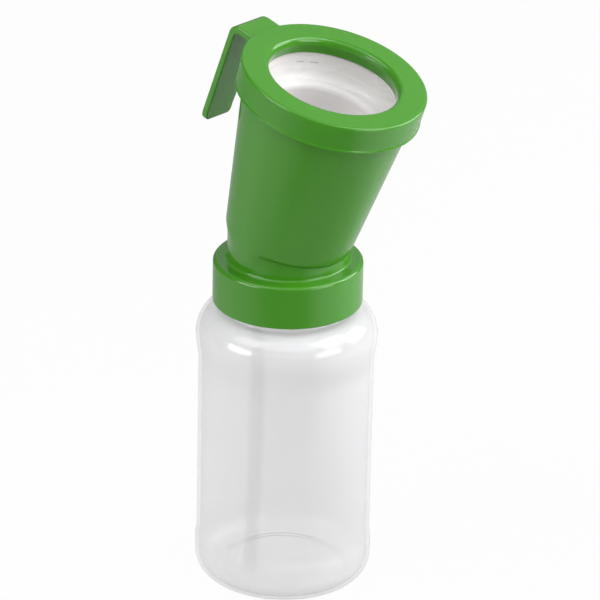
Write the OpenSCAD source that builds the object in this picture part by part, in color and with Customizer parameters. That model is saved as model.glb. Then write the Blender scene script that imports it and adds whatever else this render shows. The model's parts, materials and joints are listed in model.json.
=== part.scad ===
// Teat dip cup with a non-return insert.
// A squeeze bottle feeds a leaning dip cup through a dip tube. Liquid rises between the
// moulded cup and the white insert, and spills in through slots near the insert's rim.
// Z is up. The origin is the middle of the face that the bottle stands on. The cup leans
// towards +X, and the belt hook is on the -X side, turned a little towards +Y.

/* [Bottle] */
// Radius of the ring that the bottle stands on
base_r = 26.5; // [25:0.5:28]
// Radius of the bulge at the foot of the bottle
foot_r = 32.4; // [32:0.1:33]
// Radius of the straight wall
body_r = 31.9; // [31:0.1:32.2]
// Radius of the bulge at the shoulder
shoulder_r = 33.0; // [32.5:0.1:34]
// Height of the widest place on the shoulder
shoulder_z = 95.8; // [90:0.2:97]
// Height at which the shoulder meets the neck
neck_z = 106.3; // [105:0.1:107.5]
// Height of the bottle's mouth
mouth_z = 122.0; // [121:0.1:122.2]
// Outer radius of the neck, at the root of its thread
neck_r = 23.2; // [22.8:0.1:23.6]
// Thickness of the bottle's wall
bottle_wall = 1.2; // [0.8:0.1:1.4]
// Depth of the hollow under the bottle
base_push_up = 2.6; // [1.5:0.1:4]

/* [Screw cap] */
// Outer radius of the screw cap
cap_r = 27.15; // [27:0.05:28]
// Height of the cap's lower edge
cap_z = 109.1; // [108:0.1:110]
// Height of the cap's flat top
cap_top_z = 125.3; // [125:0.1:126.5]
// Rise of the cap's thread in one turn
cap_pitch = 4.0; // [3.6:0.1:4.4]
// Outer radius of the short neck that carries the cup
stem_r = 22.0; // [21.6:0.1:22.4]

/* [Dip cup] */
// Lean of the cup from upright, in degrees
lean = 15.54; // [12:0.1:17]
// Height at which the cup's axis crosses the bottle's axis
lean_z = 135.0; // [134.5:0.1:136]
// Outer radius of the cup at its foot
cup_foot_r = 23.2; // [23:0.1:24]
// Outer radius of the cup under the ring
cup_top_r = 30.8; // [30.5:0.1:31]
// Length of the cup's cone along its axis, up to the ring
cup_len = 57.2; // [54:0.2:60]

/* [Hook ring] */
// Outer radius of the ring
ring_r = 33.8; // [33.5:0.1:35]
// Height of the ring along the cup's axis
ring_h = 10.3; // [10:0.1:12]
// Smallest radius of the ring's opening
lip_r = 23.5; // [22.5:0.1:23.8]
// Rise of the ring's thread in one turn
ring_pitch = 3.0; // [2.8:0.1:3.2]
// Width of the hook where it leaves the ring
hook_w = 15.8; // [14:0.2:20]
// Width of the hook at its tip
hook_tip_w = 13.8; // [12:0.2:18]
// Thickness of the hook's tongue
hook_t = 2.6; // [2:0.1:3]
// Thickness of the arm between the ring and the hook's bend
hook_arm_t = 3.0; // [2:0.1:4]
// Gap between the hook's bend and the ring
hook_gap = 6.9; // [3.6:0.1:8]
// Length of the hook's tongue, from the ring's top down
hook_drop = 43.9; // [30:0.1:46]
// Turn of the hook from the side opposite the lean towards +Y, in degrees
hook_turn = 6.8; // [0:0.2:20]

/* [Insert] */
// Inner radius of the insert's rim
insert_rim_r = 25.0; // [24.5:0.1:25.2]
// Inner radius at the top of the insert's well
well_top_r = 19.6; // [18:0.1:20.5]
// Inner radius at the bottom of the insert's well
well_foot_r = 15.6; // [14:0.1:16.5]
// Height of the well's floor along the cup's axis
well_floor_h = 8.0; // [6:0.5:14]
// Thickness of the insert's wall
insert_wall = 1.3; // [1:0.1:1.4]

/* [Dip tube] */
// Outer radius of the dip tube
tube_r = 3.1; // [2.8:0.1:3.4]
// Inner radius of the dip tube
tube_bore_r = 2.1; // [1.9:0.1:2.3]
// Distance of the spigot from the bottle's axis
spigot_x = 12.5; // [11.5:0.1:13]
// Height of the dip tube's lower end
tube_foot_z = 7.0; // [6:0.5:20]

/* [Hidden] */
$fn = 96;

// Gap between flat faces of pieces that come apart
touch = 0.05;
// Overlap that joins the shapes of one piece
join = 0.4;

// Bottle
neck_bore_r = neck_r - 1.4;
neck_crest_r = neck_r + 1.4;
foot_z = 7.6;
shoulder_in_r = shoulder_r - 8.4;
push_up_r = 18;
stand_in_r = 22.5;

// Screw cap
cap_bore_r = neck_crest_r + 0.4;
cap_crest_r = neck_r + 0.35;
gasket_t = 1.3;
gasket_r = cap_bore_r - 0.2;
gasket_bore_r = 20.2;
cap_roof_z = mouth_z + gasket_t;
cap_recess_r = 19.8;
// Height at which the neck's thread starts
cap_thread_z = neck_z + 3.4;

// Dip cup, along the cup's own axis from where it crosses the bottle's axis
floor_h = -3.6;
floor_t = 2.2;
floor_fillet = 4.0;
cup_foot_bore_r = 20.4;
rim_bore_r = 28.0;
rim_r = 29.7;
rim_crest_r = rim_r + 1.0;
rim_h = cup_len + 6.0;
// Height at which the rim's thread starts
ring_thread_h = cup_len + 1.7;
spigot_r = tube_bore_r + 0.1;
spigot_bore_r = 1.4;
spigot_foot_z = 112;

// Hook ring
ring_top_h = cup_len + ring_h;
ring_bore_r = rim_crest_r + 0.4;
ring_crest_r = rim_r + 0.4;
flange_h = rim_h + touch;
flange_t = 1.6;
plate_h = flange_h + flange_t + touch;
skirt_h = ring_top_h - 6.55;
skirt_in_r = lip_r + 1.4;
skirt_r = lip_r + 2.5;
lip_round = 2.4;

// Insert
flange_r = rim_r - 0.3;
rim_pocket_r = skirt_r + 0.3;
slot_h = 56.8;
slot_size = [3.0, 0.5];
slot_turns = [-44, -31.5, 31.5, 44];

// Dip tube: straight down from the spigot, then bent on an arc towards the wall
tube_bend_r = 90;
tube_bend = 44;
tube_turn = -60;
tube_top_z = spigot_foot_z + 12;
tube_bend_z = tube_foot_z + tube_bend_r * sin(tube_bend);

// Points of an elliptic arc about [cx, cy], from angle a0 to angle a1
function arc_points(cx, cy, rx, ry, a0, a1, steps = 12) =
    [for (i = [0:steps]) let (a = a0 + (a1 - a0) * i / steps) [cx + rx * cos(a), cy + ry * sin(a)]];

// Points of a soft S-shaped change from point a to point b, each a [radius, height]
function ease_points(a, b, steps = 8) =
    [for (i = [0:steps]) let (s = i / steps)
        [a[0] + (b[0] - a[0]) * (1 - cos(180 * s)) / 2, a[1] + (b[1] - a[1]) * s]];

function backwards(points) = [for (i = [len(points) - 1:-1:0]) points[i]];

module turned(points) { rotate_extrude() polygon(points); }

// Puts its children in the cup's own frame, with the cup's axis as Z
module on_cup_axis() { translate([0, 0, lean_z]) rotate([0, lean, 0]) children(); }

// One start of a right-hand screw thread of trapezoid section about Z. It stands on root_r,
// outwards or inwards, reaches crest_r, and fades into the wall over its first and last steps.
module thread(root_r, crest_r, pitch, root_w, crest_w, z0, turns, steps = 30, fade = 3)
{
    count = round(turns * steps);
    out = crest_r > root_r ? 1 : -1;
    foot_r = root_r - out * join;
    faded_r = root_r - out * join / 2;
    points = [for (i = [0:count])
        let (
            a = 360 * i / steps,
            z = z0 + pitch * i / steps,
            s = min(1, min(i, count - i) / fade),
            tip_r = faded_r + (crest_r - faded_r) * s
        )
        for (p = [[foot_r, -root_w / 2], [tip_r, -crest_w / 2], [tip_r, crest_w / 2], [foot_r, root_w / 2]])
            [p[0] * cos(a), p[0] * sin(a), z + p[1]]];
    sides = [for (i = [0:count - 1], k = [0:3])
        let (a = 4 * i + k, b = 4 * i + (k + 1) % 4)
        for (f = [[a, b, a + 4], [b, b + 4, a + 4]]) f];
    ends = [[3, 2, 1], [3, 1, 0], [4 * count, 4 * count + 1, 4 * count + 2],
        [4 * count, 4 * count + 2, 4 * count + 3]];
    faces = concat(sides, ends);
    polyhedron(points, out > 0 ? faces : [for (f = faces) backwards(f)]);
}

// Outline of the bottle's side from the foot to the neck, drawn in by the distance t
function bottle_side(t) = concat(
    arc_points(base_r, foot_z, foot_r - base_r - t, foot_z - t, -90, 0),
    ease_points([foot_r - t, 13], [body_r - t, 17.5]),
    ease_points([body_r - t, 84], [shoulder_r - t, shoulder_z]),
    arc_points(shoulder_in_r, shoulder_z, shoulder_r - shoulder_in_r - t, neck_z - shoulder_z - t, 0, 90)
);

module bottle()
{
    outside = concat(
        [[0, base_push_up], [push_up_r, base_push_up]],
        ease_points([push_up_r + 0.2, base_push_up], [stand_in_r, 0]),
        bottle_side(0),
        [[neck_r, neck_z + 0.3], [neck_r, mouth_z - 0.3], [neck_r - 0.3, mouth_z]]
    );
    inside = concat(
        [[0, base_push_up + bottle_wall], [push_up_r - 0.4, base_push_up + bottle_wall]],
        ease_points([push_up_r - 0.2, base_push_up + bottle_wall], [stand_in_r - 0.4, bottle_wall]),
        bottle_side(bottle_wall),
        [[neck_bore_r, neck_z - bottle_wall + 0.3], [neck_bore_r, mouth_z - 0.3], [neck_bore_r + 0.3, mouth_z]]
    );
    color("whitesmoke") {
        turned(concat(outside, backwards(inside)));
        thread(neck_r, neck_crest_r, cap_pitch, 2.0, 0.9, cap_thread_z, 2.3);
    }
}

module cap_gasket()
{
    color("dimgray") translate([0, 0, mouth_z]) difference() {
        cylinder(h = gasket_t - touch, r = gasket_r);
        translate([0, 0, -1]) cylinder(h = gasket_t + 2, r = gasket_bore_r);
    }
}

// Everything below the height h along the cup's axis
module below_cup(h) { on_cup_axis() translate([0, 0, h - 60]) cylinder(h = 60, r = 80); }

// Outside of the cup, from its rounded foot to its threaded rim
module cup_outside()
{
    foot_round = 1.8;
    on_cup_axis() turned(concat(
        [[0, 0]],
        arc_points(cup_foot_r - foot_round, foot_round, foot_round, foot_round, -90, -8, 6),
        [[cup_top_r, cup_len], [cup_top_r, cup_len + 0.3], [rim_r, cup_len + 0.8],
            [rim_r, rim_h - 0.4], [rim_r - 0.4, rim_h], [0, rim_h]]
    ));
}

// Space inside the cup, from its flat floor up through its rim
module cup_inside()
{
    on_cup_axis() turned(concat(
        [[0, floor_h]],
        arc_points(cup_foot_bore_r - floor_fillet, floor_h + floor_fillet, floor_fillet, floor_fillet, -90, -5, 8),
        [[rim_bore_r - 0.1, cup_len], [rim_bore_r, rim_h + 1], [0, rim_h + 1]]
    ));
}

module cap_outside()
{
    edge = 1.5;
    fillet = 2.0;
    turned(concat(
        [[0, cap_z]],
        arc_points(cap_r - 0.4, cap_z + 0.4, 0.4, 0.4, -90, 0, 4),
        arc_points(cap_r - edge, cap_top_z - edge, edge, edge, 0, 90, 8),
        arc_points(stem_r + fillet, cap_top_z + fillet, fillet, fillet, -90, -180, 8),
        [[stem_r, cup_foot_r * sin(lean) + lean_z + 4], [0, cup_foot_r * sin(lean) + lean_z + 4]]
    ));
}

module cup_head()
{
    color("forestgreen") {
        difference() {
            union() {
                intersection() { cap_outside(); below_cup(1.5); }
                cup_outside();
            }
            cup_inside();
            translate([0, 0, cap_z - 1]) cylinder(h = cap_roof_z - cap_z + 1, r = cap_bore_r);
            intersection() {
                translate([0, 0, cap_roof_z - 1]) cylinder(h = 30, r = cap_recess_r);
                below_cup(floor_h - floor_t);
            }
            translate([-spigot_x, 0, spigot_foot_z]) cylinder(h = 30, r = spigot_bore_r);
        }
        difference() {
            intersection() {
                translate([-spigot_x, 0, spigot_foot_z]) cylinder(h = 30, r = spigot_r);
                below_cup(floor_h - floor_t + 0.5);
            }
            translate([-spigot_x, 0, spigot_foot_z - 1]) cylinder(h = 30, r = spigot_bore_r);
        }
        thread(cap_bore_r, cap_crest_r, cap_pitch, 2.0, 0.9, cap_thread_z + 2.3, 2.0);
        on_cup_axis() thread(rim_r, rim_crest_r, ring_pitch, 1.4, 0.6, ring_thread_h, 1.15);
    }
}

// A round bar of radius r along the tube's run. It reaches past the top by `past` millimetres
// and past the foot by `past` degrees of the bend.
module tube_run(r, past = 0)
{
    translate([-spigot_x, 0, tube_bend_z]) cylinder(h = tube_top_z - tube_bend_z + past, r = r);
    translate([-spigot_x, 0, tube_bend_z]) rotate([0, 0, tube_turn]) translate([tube_bend_r, 0, 0])
        rotate([90, 0, 0]) rotate([0, 0, 180]) rotate_extrude(angle = tube_bend + past)
            translate([tube_bend_r, 0]) circle(r = r);
}

// The tube's wall grips the spigot, which is a little wider than the bore
module dip_tube()
{
    color("gainsboro") difference() { tube_run(tube_r); tube_run(tube_bore_r, past = 1); }
}

module insert()
{
    outside = concat(
        [[0, well_floor_h - insert_wall]],
        arc_points(well_foot_r - 3, well_floor_h + 4, 3 + insert_wall, 4 + insert_wall, -90, 0, 8),
        [[well_top_r + insert_wall, 48.6]],
        arc_points(well_top_r + 1.2, 55.6, 3.7 + insert_wall, 4.7 + insert_wall, -80, -8, 8),
        [[insert_rim_r + insert_wall, 56.0], [insert_rim_r + insert_wall, skirt_h - 1.6],
            [rim_pocket_r + 1.2, skirt_h - 0.8],
            [rim_pocket_r + 1.2, flange_h], [flange_r, flange_h], [flange_r, flange_h + flange_t]]
    );
    inside = concat(
        [[0, well_floor_h]],
        arc_points(well_foot_r - 3, well_floor_h + 4, 3, 4, -90, 0, 8),
        [[well_top_r, 48.8]],
        arc_points(well_top_r + 1.8, 49.2, 1.8, 1.8, 180, 110, 6),
        arc_points(well_top_r + 1.2, 55.6, 3.7, 4.7, -80, -8, 8),
        [[insert_rim_r, 56.0], [insert_rim_r, skirt_h - 0.2], [rim_pocket_r, skirt_h - 0.1],
            [rim_pocket_r, flange_h + flange_t]]
    );
    color("white") on_cup_axis() difference() {
        turned(concat(outside, backwards(inside)));
        for (turn = slot_turns) rotate([0, 0, turn])
            translate([-insert_rim_r - 3, -slot_size[0] / 2, slot_h - slot_size[1] / 2])
                cube([6, slot_size[0], slot_size[1]]);
    }
}

module hook_ring()
{
    top_round = 0.9;
    foot_round = 0.6;
    color("limegreen") on_cup_axis() {
        turned(concat(
            [[ring_bore_r, cup_len]],
            arc_points(ring_r - 0.3 - foot_round, cup_len + foot_round, foot_round, foot_round, -90, 0, 5),
            arc_points(ring_r - top_round, ring_top_h - top_round, top_round, top_round, 0, 90, 6),
            arc_points(lip_r + lip_round, ring_top_h - lip_round, lip_round, lip_round, 90, 180, 8),
            [[lip_r, ring_top_h - 2.7], [skirt_in_r - 0.3, ring_top_h - 3], [skirt_in_r, skirt_h],
                [skirt_r, skirt_h], [skirt_r, plate_h], [ring_bore_r, plate_h]]
        ));
        thread(ring_bore_r, ring_crest_r, ring_pitch, 1.4, 0.6, ring_thread_h + 1.75, 1.0);
        hook();
    }
}

// Belt hook: an arm just below the ring's top, a bend, and a tongue that hangs down and flares
module hook()
{
    top_h = ring_top_h - 0.8;
    bend_r = ring_r + hook_gap + hook_t;
    tip_r = bend_r + 2.6;
    tip_h = ring_top_h - hook_drop;
    // The arm starts inside the ring's wall, clear of the insert's flange
    arm_start_r = ring_bore_r + join;
    outer_round = 4.2;
    inner_round = outer_round - hook_t;
    side = concat(
        [[arm_start_r, top_h - hook_arm_t], [arm_start_r, top_h]],
        arc_points(bend_r - outer_round, top_h - outer_round, outer_round, outer_round, 90, 0, 8),
        [[tip_r, tip_h + 0.8], [tip_r - 0.8, tip_h], [tip_r - hook_t + 0.8, tip_h], [tip_r - hook_t, tip_h + 0.8]],
        arc_points(bend_r - outer_round, top_h - hook_arm_t - inner_round, inner_round, inner_round, 0, 90, 4)
    );
    corner = 3;
    front = concat(
        [[hook_w / 2, ring_top_h + 1], [hook_w / 2, ring_top_h - outer_round]],
        arc_points(hook_tip_w / 2 - corner, tip_h + corner, corner, corner, 0, -90, 6),
        arc_points(corner - hook_tip_w / 2, tip_h + corner, corner, corner, -90, -180, 6),
        [[-hook_w / 2, ring_top_h - outer_round], [-hook_w / 2, ring_top_h + 1]]
    );
    rotate([0, 0, 180 - hook_turn]) intersection() {
        translate([0, hook_w, 0]) rotate([90, 0, 0]) linear_extrude(2 * hook_w) polygon(side);
        rotate([90, 0, 90]) linear_extrude(2 * bend_r) polygon(front);
    }
}

bottle();
cap_gasket();
cup_head();
dip_tube();
insert();
hook_ring();
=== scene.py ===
"""Dresses the teat dip cup: every visible piece as a fine mesh with a procedural finish.

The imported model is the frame. Sizes are in millimetres and are turned into metres where a
mesh is made. Z is up, the cup leans towards +X, and the belt hook is on the -X side.
"""
import json
import logging
import math
from dataclasses import dataclass
from enum import Enum
from typing import Iterable, Sequence

import bmesh
import bpy
from mathutils import Matrix, Vector


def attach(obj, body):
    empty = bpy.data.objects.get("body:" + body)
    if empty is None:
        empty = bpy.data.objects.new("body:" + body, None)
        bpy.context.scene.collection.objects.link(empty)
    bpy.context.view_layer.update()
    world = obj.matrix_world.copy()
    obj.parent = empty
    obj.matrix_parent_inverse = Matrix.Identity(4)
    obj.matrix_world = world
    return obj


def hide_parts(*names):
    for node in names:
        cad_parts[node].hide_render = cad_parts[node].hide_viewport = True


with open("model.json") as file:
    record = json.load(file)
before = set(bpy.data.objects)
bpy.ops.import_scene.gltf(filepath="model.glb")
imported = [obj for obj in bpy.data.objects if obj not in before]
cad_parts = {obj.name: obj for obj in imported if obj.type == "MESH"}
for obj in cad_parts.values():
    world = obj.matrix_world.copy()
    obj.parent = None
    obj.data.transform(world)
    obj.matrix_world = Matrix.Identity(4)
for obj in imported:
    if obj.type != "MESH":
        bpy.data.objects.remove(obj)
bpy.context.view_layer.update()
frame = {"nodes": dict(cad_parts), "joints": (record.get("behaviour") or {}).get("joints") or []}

log = logging.getLogger("dip_cup")

MM = 0.001
AROUND = 192
TUBE_AROUND = 48
ARC_STEP = 7.5
EDGE_STEP = 22.5
EASE_STEPS = 12
FLATTEST_CORNER = 177.0
CORNER_SHARE = 0.49
SHARP_ANGLE = 35.0
SAME_POINT = 1e-4

Pair = tuple[float, float]
Triple = tuple[float, float, float]
Ring = list[Vector]
Colour = Triple


# ---------------------------------------------------------------- outlines and meshes


class Outline:
    """A turned piece's half section, as points (radius, height) in millimetres."""

    def __init__(self) -> None:
        """Starts an empty outline."""
        self._points: list[tuple[float, float, float]] = []

    def to(self, radius: float, height: float, rounding: float = 0.0) -> "Outline":
        """Adds a corner.

        Args:
            radius: Distance from the axis.
            height: Height along the axis.
            rounding: Radius that the corner is rounded with.

        Returns:
            The outline itself, so that calls chain.
        """
        self._points.append((radius, height, rounding))
        return self

    def arc(self, centre: Pair, radii: Pair, start: float, end: float) -> "Outline":
        """Adds an elliptic arc.

        Args:
            centre: Middle of the ellipse.
            radii: Half axes, across and along.
            start: First angle in degrees.
            end: Last angle in degrees.

        Returns:
            The outline itself.
        """
        steps = max(2, math.ceil(abs(end - start) / ARC_STEP))
        for i in range(steps + 1):
            a = math.radians(start + (end - start) * i / steps)
            self.to(centre[0] + radii[0] * math.cos(a), centre[1] + radii[1] * math.sin(a))
        return self

    def ease(self, start: Pair, end: Pair) -> "Outline":
        """Adds a soft S-shaped change of radius between two points.

        Args:
            start: First point.
            end: Last point.

        Returns:
            The outline itself.
        """
        for i in range(EASE_STEPS + 1):
            s = i / EASE_STEPS
            blend = (1 - math.cos(math.pi * s)) / 2
            self.to(start[0] + (end[0] - start[0]) * blend, start[1] + (end[1] - start[1]) * s)
        return self

    def points(self, closed: bool = False) -> list[Pair]:
        """Works out the rounded corners.

        Args:
            closed: Whether the last point joins the first.

        Returns:
            The points of the finished outline.
        """
        raw = self._points
        out: list[Pair] = []
        for i, (r, z, rounding) in enumerate(raw):
            at_end = not closed and i in (0, len(raw) - 1)
            if rounding <= 0 or at_end:
                out.append((r, z))
                continue
            before, after = raw[i - 1][:2], raw[(i + 1) % len(raw)][:2]
            out.extend(self._corner(before, (r, z), after, rounding))
        return [p for i, p in enumerate(out) if i == 0 or math.dist(p, out[i - 1]) > SAME_POINT]

    @staticmethod
    def _corner(a: Pair, b: Pair, c: Pair, radius: float) -> list[Pair]:
        """Rounds the corner b between a and c.

        Args:
            a: Point before the corner.
            b: The corner.
            c: Point after the corner.
            radius: Rounding radius.

        Returns:
            Points of the arc that takes the corner's place.
        """
        p, q, s = Vector(a), Vector(b), Vector(c)
        into, away = (p - q).normalized(), (s - q).normalized()
        half = into.angle(away) / 2
        if half > math.radians(FLATTEST_CORNER / 2):
            return [b]
        reach = min(radius / math.tan(half), CORNER_SHARE * (p - q).length, CORNER_SHARE * (s - q).length)
        radius = reach * math.tan(half)
        centre = q + (into + away).normalized() * (radius / math.sin(half))
        start, end = q + into * reach - centre, q + away * reach - centre
        turn = start.angle_signed(end)
        steps = max(2, math.ceil(math.degrees(abs(turn)) / ARC_STEP))
        first = math.atan2(start.y, start.x)
        angles = [first - turn * i / steps for i in range(steps + 1)]
        return [(centre.x + radius * math.cos(a), centre.y + radius * math.sin(a)) for a in angles]


def ring_of(radius: float, height: float) -> Ring:
    """Makes a level circle of points about Z.

    Args:
        radius: Radius in millimetres.
        height: Height in millimetres.

    Returns:
        The points in millimetres.
    """
    step = 2 * math.pi / AROUND
    return [Vector((radius * math.cos(step * i), radius * math.sin(step * i), height)) for i in range(AROUND)]


def rings_of(points: Iterable[Pair], place: Matrix = Matrix.Identity(4)) -> list[Ring]:
    """Turns an outline's points into circles.

    Args:
        points: Outline points.
        place: Placing of the piece's axis, in millimetres.

    Returns:
        One ring of points for each outline point.
    """
    return [[place @ v for v in ring_of(max(r, 0.0), z)] for r, z in points]


def skin(rings: Sequence[Ring], closed: bool = False) -> bmesh.types.BMesh:
    """Spans faces between rings that have the same number of points.

    Args:
        rings: Rings in order; each is in millimetres.
        closed: Whether the last ring joins the first; otherwise both ends are capped.

    Returns:
        A new closed mesh in metres.
    """
    mesh = bmesh.new()
    rows: list[list[bmesh.types.BMVert]] = []
    for ring in rings:
        small = max((v - ring[0]).length for v in ring) < SAME_POINT
        rows.append([mesh.verts.new(v * MM) for v in (ring[:1] if small else ring)])
    pairs = list(zip(rows, rows[1:])) + ([(rows[-1], rows[0])] if closed else [])
    for low, high in pairs:
        span_rows(mesh, low, high)
    if not closed:
        for row in (rows[0], rows[-1]):
            if len(row) > 1:
                middle = mesh.verts.new(sum((v.co for v in row), Vector()) / len(row))
                span_rows(mesh, row, [middle])
    bmesh.ops.recalc_face_normals(mesh, faces=mesh.faces)
    return mesh


def span_rows(mesh: bmesh.types.BMesh, low: list[bmesh.types.BMVert], high: list[bmesh.types.BMVert]) -> None:
    """Joins two rows of vertices with faces; a row of one vertex is a pole.

    Args:
        mesh: Mesh that owns the rows.
        low: First row.
        high: Second row.
    """
    count = max(len(low), len(high))
    for i in range(count):
        k = (i + 1) % count
        corners = [low[i % len(low)], low[k % len(low)], high[k % len(high)], high[i % len(high)]]
        mesh.faces.new(list(dict.fromkeys(corners)))


def merge(base: bmesh.types.BMesh, *others: bmesh.types.BMesh) -> bmesh.types.BMesh:
    """Adds the shells of other meshes to a mesh and frees them.

    Args:
        base: Mesh that receives the shells.
        others: Meshes to add.

    Returns:
        The base mesh.
    """
    for other in others:
        data = bpy.data.meshes.new("part")
        other.to_mesh(data)
        other.free()
        base.from_mesh(data)
        bpy.data.meshes.remove(data)
    return base


@dataclass(frozen=True)
class Thread:
    """A right-hand screw thread about Z that stands on a wall, outwards or inwards."""

    root_r: float
    crest_r: float
    pitch: float
    root_w: float
    crest_w: float
    start_z: float
    turns: float
    bury: float = 0.4
    least_height: float = 0.2
    crest_round: float = 0.25
    fade_turns: float = 0.1
    steps: int = 72

    def mesh(self, place: Matrix = Matrix.Identity(4)) -> bmesh.types.BMesh:
        """Winds the thread's section round the axis.

        Args:
            place: Placing of the thread's axis, in millimetres.

        Returns:
            A closed mesh in metres.
        """
        out = 1 if self.crest_r > self.root_r else -1
        foot_r = self.root_r - out * self.bury
        count = round(self.turns * self.steps)
        rings = []
        for i in range(count + 1):
            turn = i / self.steps
            rise = min(1.0, turn / self.fade_turns, (count - i) / self.steps / self.fade_turns)
            low_r = foot_r + out * self.least_height
            tip_r = low_r + (self.crest_r - low_r) * max(rise, 0.0)
            edge = self.crest_round * rise
            section = [
                (foot_r, -self.root_w / 2),
                (tip_r - out * edge, -self.crest_w / 2 - edge * 0.4),
                (tip_r, -self.crest_w / 2 + edge * 0.6),
                (tip_r, self.crest_w / 2 - edge * 0.6),
                (tip_r - out * edge, self.crest_w / 2 + edge * 0.4),
                (foot_r, self.root_w / 2),
            ]
            a = 2 * math.pi * turn
            z = self.start_z + self.pitch * turn
            rings.append([place @ Vector((r * math.cos(a), r * math.sin(a), z + dz)) for r, dz in section])
        return skin(rings)


def tube_rings(path: Sequence[Vector], radius: float) -> list[Ring]:
    """Makes the rings of a round tube along a path.

    Args:
        path: Centreline in millimetres.
        radius: Tube radius in millimetres.

    Returns:
        One ring for each path point.
    """
    rings: list[Ring] = []
    side = Vector((1, 0, 0))
    angles = [2 * math.pi / TUBE_AROUND * k for k in range(TUBE_AROUND)]
    for i, centre in enumerate(path):
        ahead = path[min(i + 1, len(path) - 1)] - path[max(i - 1, 0)]
        ahead.normalize()
        side = (side - ahead * side.dot(ahead)).normalized()
        up = ahead.cross(side)
        rings.append([centre + (side * math.cos(a) + up * math.sin(a)) * radius for a in angles])
    return rings


def cut(piece: bpy.types.Object, cutters: Sequence[bmesh.types.BMesh]) -> None:
    """Takes the cutters' volumes out of a piece, exactly.

    Args:
        piece: Object that is cut.
        cutters: Closed meshes in metres; they are freed.
    """
    tool = merge(cutters[0], *cutters[1:])
    data = bpy.data.meshes.new("cutter")
    tool.to_mesh(data)
    tool.free()
    cutter = bpy.data.objects.new("cutter", data)
    bpy.context.collection.objects.link(cutter)
    change = piece.modifiers.new("cut", "BOOLEAN")
    change.operation = "DIFFERENCE"
    change.solver = "EXACT"
    change.object = cutter
    apply_modifiers(piece)
    bpy.data.objects.remove(cutter)
    bpy.data.meshes.remove(data)


def apply_modifiers(piece: bpy.types.Object) -> None:
    """Replaces a piece's mesh with its evaluated mesh and drops its modifiers.

    Args:
        piece: Object whose modifiers are applied.
    """
    bpy.context.view_layer.update()
    graph = bpy.context.evaluated_depsgraph_get()
    data = bpy.data.meshes.new_from_object(piece.evaluated_get(graph))
    piece.modifiers.clear()
    old = piece.data
    piece.data = data
    bpy.data.meshes.remove(old)


def shade(piece: bpy.types.Object) -> None:
    """Smooths the shading of a piece but keeps its sharp edges, and weights normals by area.

    Args:
        piece: Object to shade.
    """
    mesh = bmesh.new()
    mesh.from_mesh(piece.data)
    limit = math.radians(SHARP_ANGLE)
    for face in mesh.faces:
        face.smooth = True
    for edge in mesh.edges:
        edge.smooth = edge.calc_face_angle(0.0) < limit
    mesh.to_mesh(piece.data)
    mesh.free()
    weigh = piece.modifiers.new("weigh", "WEIGHTED_NORMAL")
    weigh.keep_sharp = True
    apply_modifiers(piece)


def add_piece(name: str, mesh: bmesh.types.BMesh) -> bpy.types.Object:
    """Turns a finished mesh into an object of the scene.

    Args:
        name: Name of the piece.
        mesh: Mesh in metres; it is freed.

    Returns:
        The new object.
    """
    data = bpy.data.meshes.new(name)
    mesh.to_mesh(data)
    mesh.free()
    piece = bpy.data.objects.new(name, data)
    bpy.context.collection.objects.link(piece)
    return piece


def densify(points: Sequence[Pair], step: float) -> list[Pair]:
    """Splits the long straight stretches of an outline.

    Args:
        points: Outline points.
        step: Longest stretch that is left, in millimetres.

    Returns:
        The points with those between them.
    """
    out = [points[0]]
    for a, b in zip(points, points[1:]):
        count = max(1, math.ceil(math.dist(a, b) / step))
        for i in range(1, count + 1):
            out.append((a[0] + (b[0] - a[0]) * i / count, a[1] + (b[1] - a[1]) * i / count))
    return out


def smooth_step(low: float, high: float, value: float) -> float:
    """Rises smoothly from 0 at low to 1 at high."""
    t = min(1.0, max(0.0, (value - low) / (high - low)))
    return t * t * (3 - 2 * t)


# ---------------------------------------------------------------- shader building


def srgb(red: int, green: int, blue: int) -> Colour:
    """Turns a screen colour from 0 to 255, none of it very dark, into linear light."""
    return tuple(((c / 255 + 0.055) / 1.055) ** 2.4 for c in (red, green, blue))


class Value:
    """A number that changes over a surface. Sums and products of values add Math nodes."""

    def __init__(self, recipe: "Recipe", socket: bpy.types.NodeSocket) -> None:
        """Wraps a socket of the recipe's node tree."""
        self.recipe = recipe
        self.socket = socket

    def _maths(self, operation: str, first: "Value | float", second: "Value | float") -> "Value":
        """Adds a Math node.

        Args:
            operation: Name of the operation.
            first: First operand.
            second: Second operand.

        Returns:
            The node's result.
        """
        node = self.recipe.node("ShaderNodeMath", {"operation": operation}, {0: first, 1: second})
        return Value(self.recipe, node.outputs[0])

    def __add__(self, other: "Value | float") -> "Value":
        """Adds."""
        return self._maths("ADD", self, other)

    def __sub__(self, other: "Value | float") -> "Value":
        """Subtracts."""
        return self._maths("SUBTRACT", self, other)

    def __rsub__(self, other: float) -> "Value":
        """Subtracts from a number."""
        return self._maths("SUBTRACT", other, self)

    def __mul__(self, other: "Value | float") -> "Value":
        """Multiplies."""
        return self._maths("MULTIPLY", self, other)

    __radd__ = __add__
    __rmul__ = __mul__


@dataclass(frozen=True)
class Grain:
    """Soft noise: features per metre, finer octaves and their strength, stretch and turn."""

    scale: float
    detail: float = 3.0
    roughness: float = 0.5
    stretch: Triple | None = None
    turn: Triple = (0.0, 0.0, 0.0)


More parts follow.
